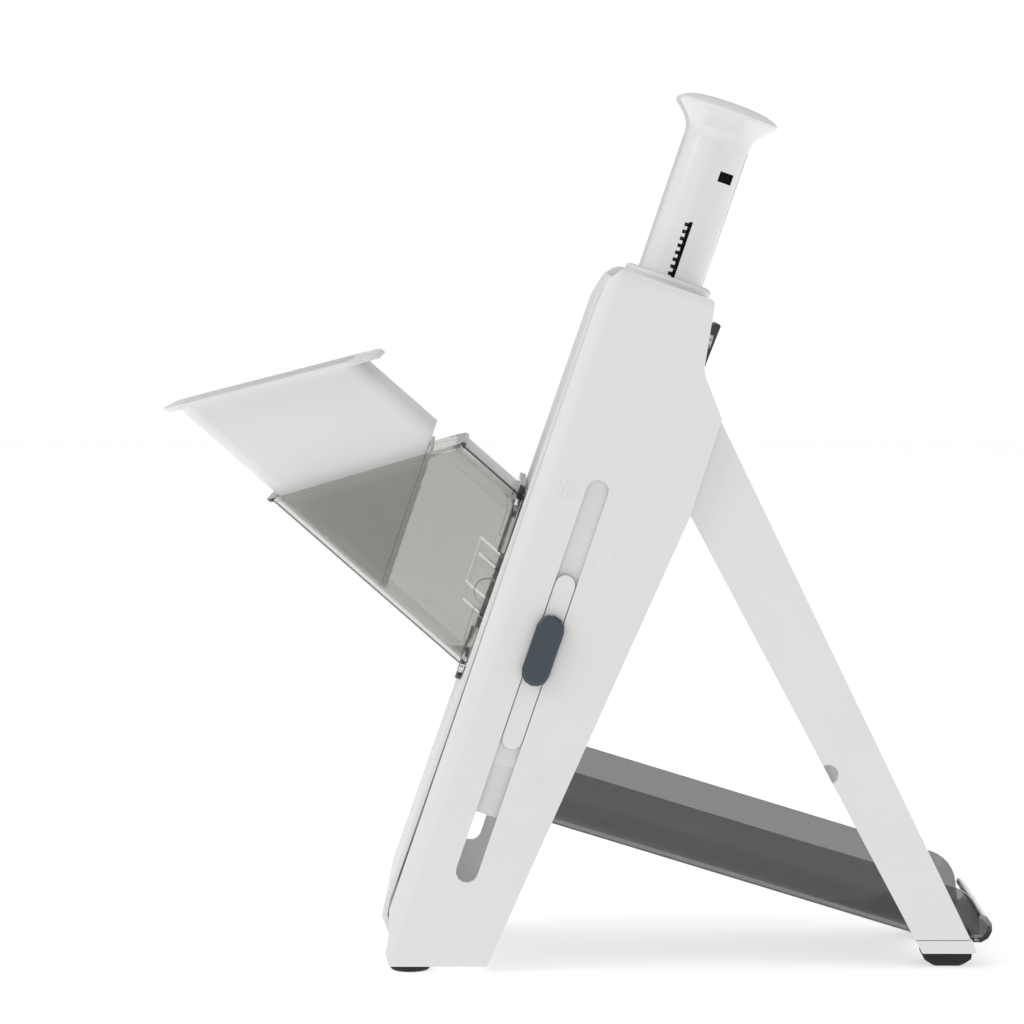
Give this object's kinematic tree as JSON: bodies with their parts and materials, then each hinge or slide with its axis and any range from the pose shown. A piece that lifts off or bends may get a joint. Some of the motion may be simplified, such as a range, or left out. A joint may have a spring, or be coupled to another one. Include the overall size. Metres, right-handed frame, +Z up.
{
  "type": "upright press mandoline slicer",
  "caption": "Upright press-down mandoline slicer: leaning body on a folding rear leg, sprung plunger with a blade, angled feed chute with a food pusher, and a pull-out catch tray.",
  "frame": {"origin": "on the surface the slicer stands on, under the middle of its bounding box", "axes": "+Z up, +Y to the back where the tray and the folding leg are, -Y to the feed chute, +X to the side with the cutting-pattern selector"},
  "size_m": [0.1332, 0.3902, 0.4118],
  "materials": {
    "body_white": "fine satin moulded plastic",
    "plunger_white": "glossy moulded plastic",
    "inner_white": "plain moulded plastic, unpolished",
    "chute_smoke": "clear plastic with a light smoke tint, polished",
    "pusher_clear": "clear frosted plastic",
    "tray_smoke": "clear plastic with a dark smoke tint, polished",
    "knob_slate": "satin slate-coloured moulded plastic",
    "leg_white": "fine satin moulded plastic",
    "lever_dark": "satin dark grey moulded plastic",
    "foot_rubber": "matt black rubber",
    "plate_grey": "pale grey moulded plastic with fine ribs",
    "clamp_steel": "brushed stainless strip",
    "blade_steel": "ground stainless blade",
    "fastener_steel": "bright turned steel",
    "spring_steel": "drawn stainless wire"
  },
  "bodies": {
    "housing": {"side_cover_right": "body_white", "side_cover_left": "body_white", "front_frame": "body_white", "top_cap": "body_white", "plunger_collar": "body_white", "rear_cover": "body_white", "rear_screw_right": "fastener_steel", "rear_screw_left": "fastener_steel", "base_block": "body_white", "guide_rail_right": "inner_white", "guide_rail_left": "inner_white", "spring_hanger_right": "inner_white", "spring_hanger_left": "inner_white", "tray_ledge": "body_white", "leg_axle": "fastener_steel", "axle_clip_right": "fastener_steel", "axle_clip_left": "fastener_steel", "lever_pin": "fastener_steel", "front_foot_right": "foot_rubber", "front_foot_left": "foot_rubber", "return_spring_right": "spring_steel", "return_spring_left": "spring_steel"},
    "plunger": {"plunger_tube": "plunger_white", "plunger_head": "plunger_white", "carriage_frame": "inner_white", "upper_plate": "plate_grey", "main_blade": "blade_steel", "blade_clamp": "clamp_steel", "blade_screw_right": "fastener_steel", "blade_screw_left": "fastener_steel", "slide_shoe_right": "inner_white", "slide_shoe_left": "inner_white"},
    "cut_selector": {"cut_selector_knob": "knob_slate"},
    "comb": {"julienne_comb": "blade_steel"},
    "thickness_selector": {"thickness_knob": "knob_slate"},
    "feed_table": {"feed_plate": "plate_grey"},
    "leg": {"leg_arm_right": "leg_white", "leg_arm_left": "leg_white", "rear_foot_cap_right": "leg_white", "rear_foot_cap_left": "leg_white", "leg_crossbar": "leg_white", "rear_foot_pad_right": "foot_rubber", "rear_foot_pad_left": "foot_rubber"},
    "tray": {"catch_tray": "tray_smoke"},
    "chute": {"feed_chute": "chute_smoke"},
    "latch_right": {"chute_latch_right": "chute_smoke"},
    "latch_left": {"chute_latch_left": "chute_smoke"},
    "pusher": {"food_pusher": "pusher_clear", "pusher_grip_plate": "pusher_clear"},
    "lever": {"lock_lever": "lever_dark"}
  },
  "joints": [
    {"name": "plunger_slide", "type": "slide", "parent": "housing", "child": "plunger", "axis": [0, 0.3223, 0.9466], "range_m": [-0.066, 0.0466], "stiffness_N_per_m": 60, "springref_m": 0.0508, "deforming": ["return_spring_right", "return_spring_left"]},
    {"name": "cut_selector_slide", "type": "slide", "parent": "plunger", "child": "cut_selector", "axis": [0, 0.3223, 0.9466], "range_m": [0, 0.005]},
    {"name": "comb_slide", "type": "slide", "parent": "plunger", "child": "comb", "axis": [0, -0.9466, 0.3223], "range_m": [0, 0.0045]},
    {"name": "thickness_slide", "type": "slide", "parent": "plunger", "child": "thickness_selector", "axis": [0, 0.3223, 0.9466], "range_m": [-0.005, 0.005]},
    {"name": "feed_plate_slide", "type": "slide", "parent": "plunger", "child": "feed_table", "axis": [0, -0.9466, 0.3223], "range_m": [-0.00225, 0.00225]},
    {"name": "leg_fold", "type": "hinge", "parent": "housing", "child": "leg", "pos_m": [0, 0.05428, 0.25947], "axis": [-1, 0, 0], "range_deg": [0, 43]},
    {"name": "tray_slide", "type": "slide", "parent": "housing", "child": "tray", "axis": [0, 0.9848, 0.1736], "range_m": [0, 0.24]},
    {"name": "chute_release", "type": "slide", "parent": "housing", "child": "chute", "axis": [0, -0.9466, 0.3223], "range_m": [0, 0.06]},
    {"name": "pusher_slide", "type": "slide", "parent": "chute", "child": "pusher", "axis": [0, 0.7513, -0.66], "range_m": [-0.075, 0.052]},
    {"name": "chute_latch_right_hinge", "type": "hinge", "parent": "chute", "child": "latch_right", "pos_m": [0.0438, -0.0505, 0.1855], "axis": [0, 0.3223, 0.9466], "range_deg": [0, 3.2], "stiffness_Nm_per_rad": 0.05},
    {"name": "chute_latch_left_hinge", "type": "hinge", "parent": "chute", "child": "latch_left", "pos_m": [-0.0438, -0.0505, 0.1855], "axis": [0, -0.3223, -0.9466], "range_deg": [0, 3.2], "stiffness_Nm_per_rad": 0.05},
    {"name": "lock_lever_hinge", "type": "hinge", "parent": "housing", "child": "lever", "pos_m": [0, 0.05564, 0.28457], "axis": [1, 0, 0], "range_deg": [0, 8], "stiffness_Nm_per_rad": 0.05}
  ],
  "couplings": [
    {"joint": "comb_slide", "follows": "cut_selector_slide", "ratio": 0.9},
    {"joint": "feed_plate_slide", "follows": "thickness_slide", "ratio": 0.45}
  ]
}
